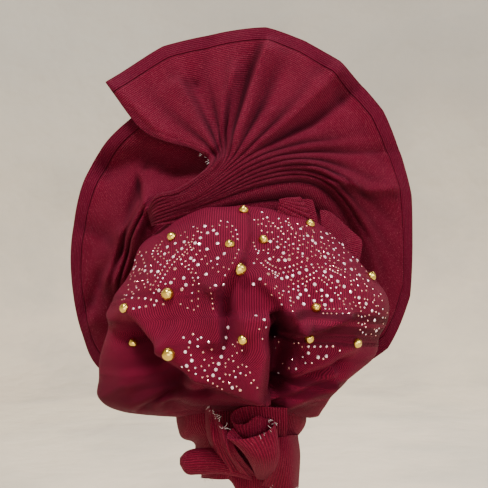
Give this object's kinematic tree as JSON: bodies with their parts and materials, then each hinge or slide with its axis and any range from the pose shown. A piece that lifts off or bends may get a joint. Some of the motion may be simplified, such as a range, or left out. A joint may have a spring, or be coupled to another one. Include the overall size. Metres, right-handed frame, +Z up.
{
  "type": "ready-tied gele head tie",
  "caption": "Ready-tied gele head tie in ribbed burgundy cloth: a stoned pouch over the head, a swirled pleated fan behind it and a rosette knot at the nape.",
  "frame": {"origin": "centre of the head opening at brow level, where the head tie sits on a head", "axes": "+Z up towards the top of the fan, -Y towards the back of the head and the knot, +X to the right seen from behind"},
  "size_m": [0.4071, 0.2945, 0.5416],
  "materials": {
    "burgundy_cloth": "ribbed matt cloth with a slight sheen",
    "gold_metal": "polished",
    "clear_crystal": "faceted foil-backed crystals",
    "copper_crystal": "faceted foil-backed crystals",
    "thread": "loose cut threads"
  },
  "bodies": {
    "root": {"crown": "burgundy_cloth", "forehead_pleats": "burgundy_cloth", "fan": "burgundy_cloth", "fan_left_lobe": "burgundy_cloth", "inner_pleats": "burgundy_cloth", "inner_flap": "burgundy_cloth", "side_flap": "burgundy_cloth", "nape_wrap": "burgundy_cloth", "knot_petal_back": "burgundy_cloth", "knot_petal_left": "burgundy_cloth", "knot_roll": "burgundy_cloth", "knot_loop_left": "burgundy_cloth", "knot_band_right": "burgundy_cloth", "stud_01": "gold_metal", "stud_02": "gold_metal", "stud_03": "gold_metal", "stud_04": "gold_metal", "stud_05": "gold_metal", "stud_06": "gold_metal", "stud_07": "gold_metal", "stud_08": "gold_metal", "stud_09": "gold_metal", "stud_10": "gold_metal", "stud_11": "gold_metal", "stud_12": "gold_metal", "stud_13": "gold_metal", "stud_14": "gold_metal", "stud_15": "gold_metal"}
  },
  "joints": []
}
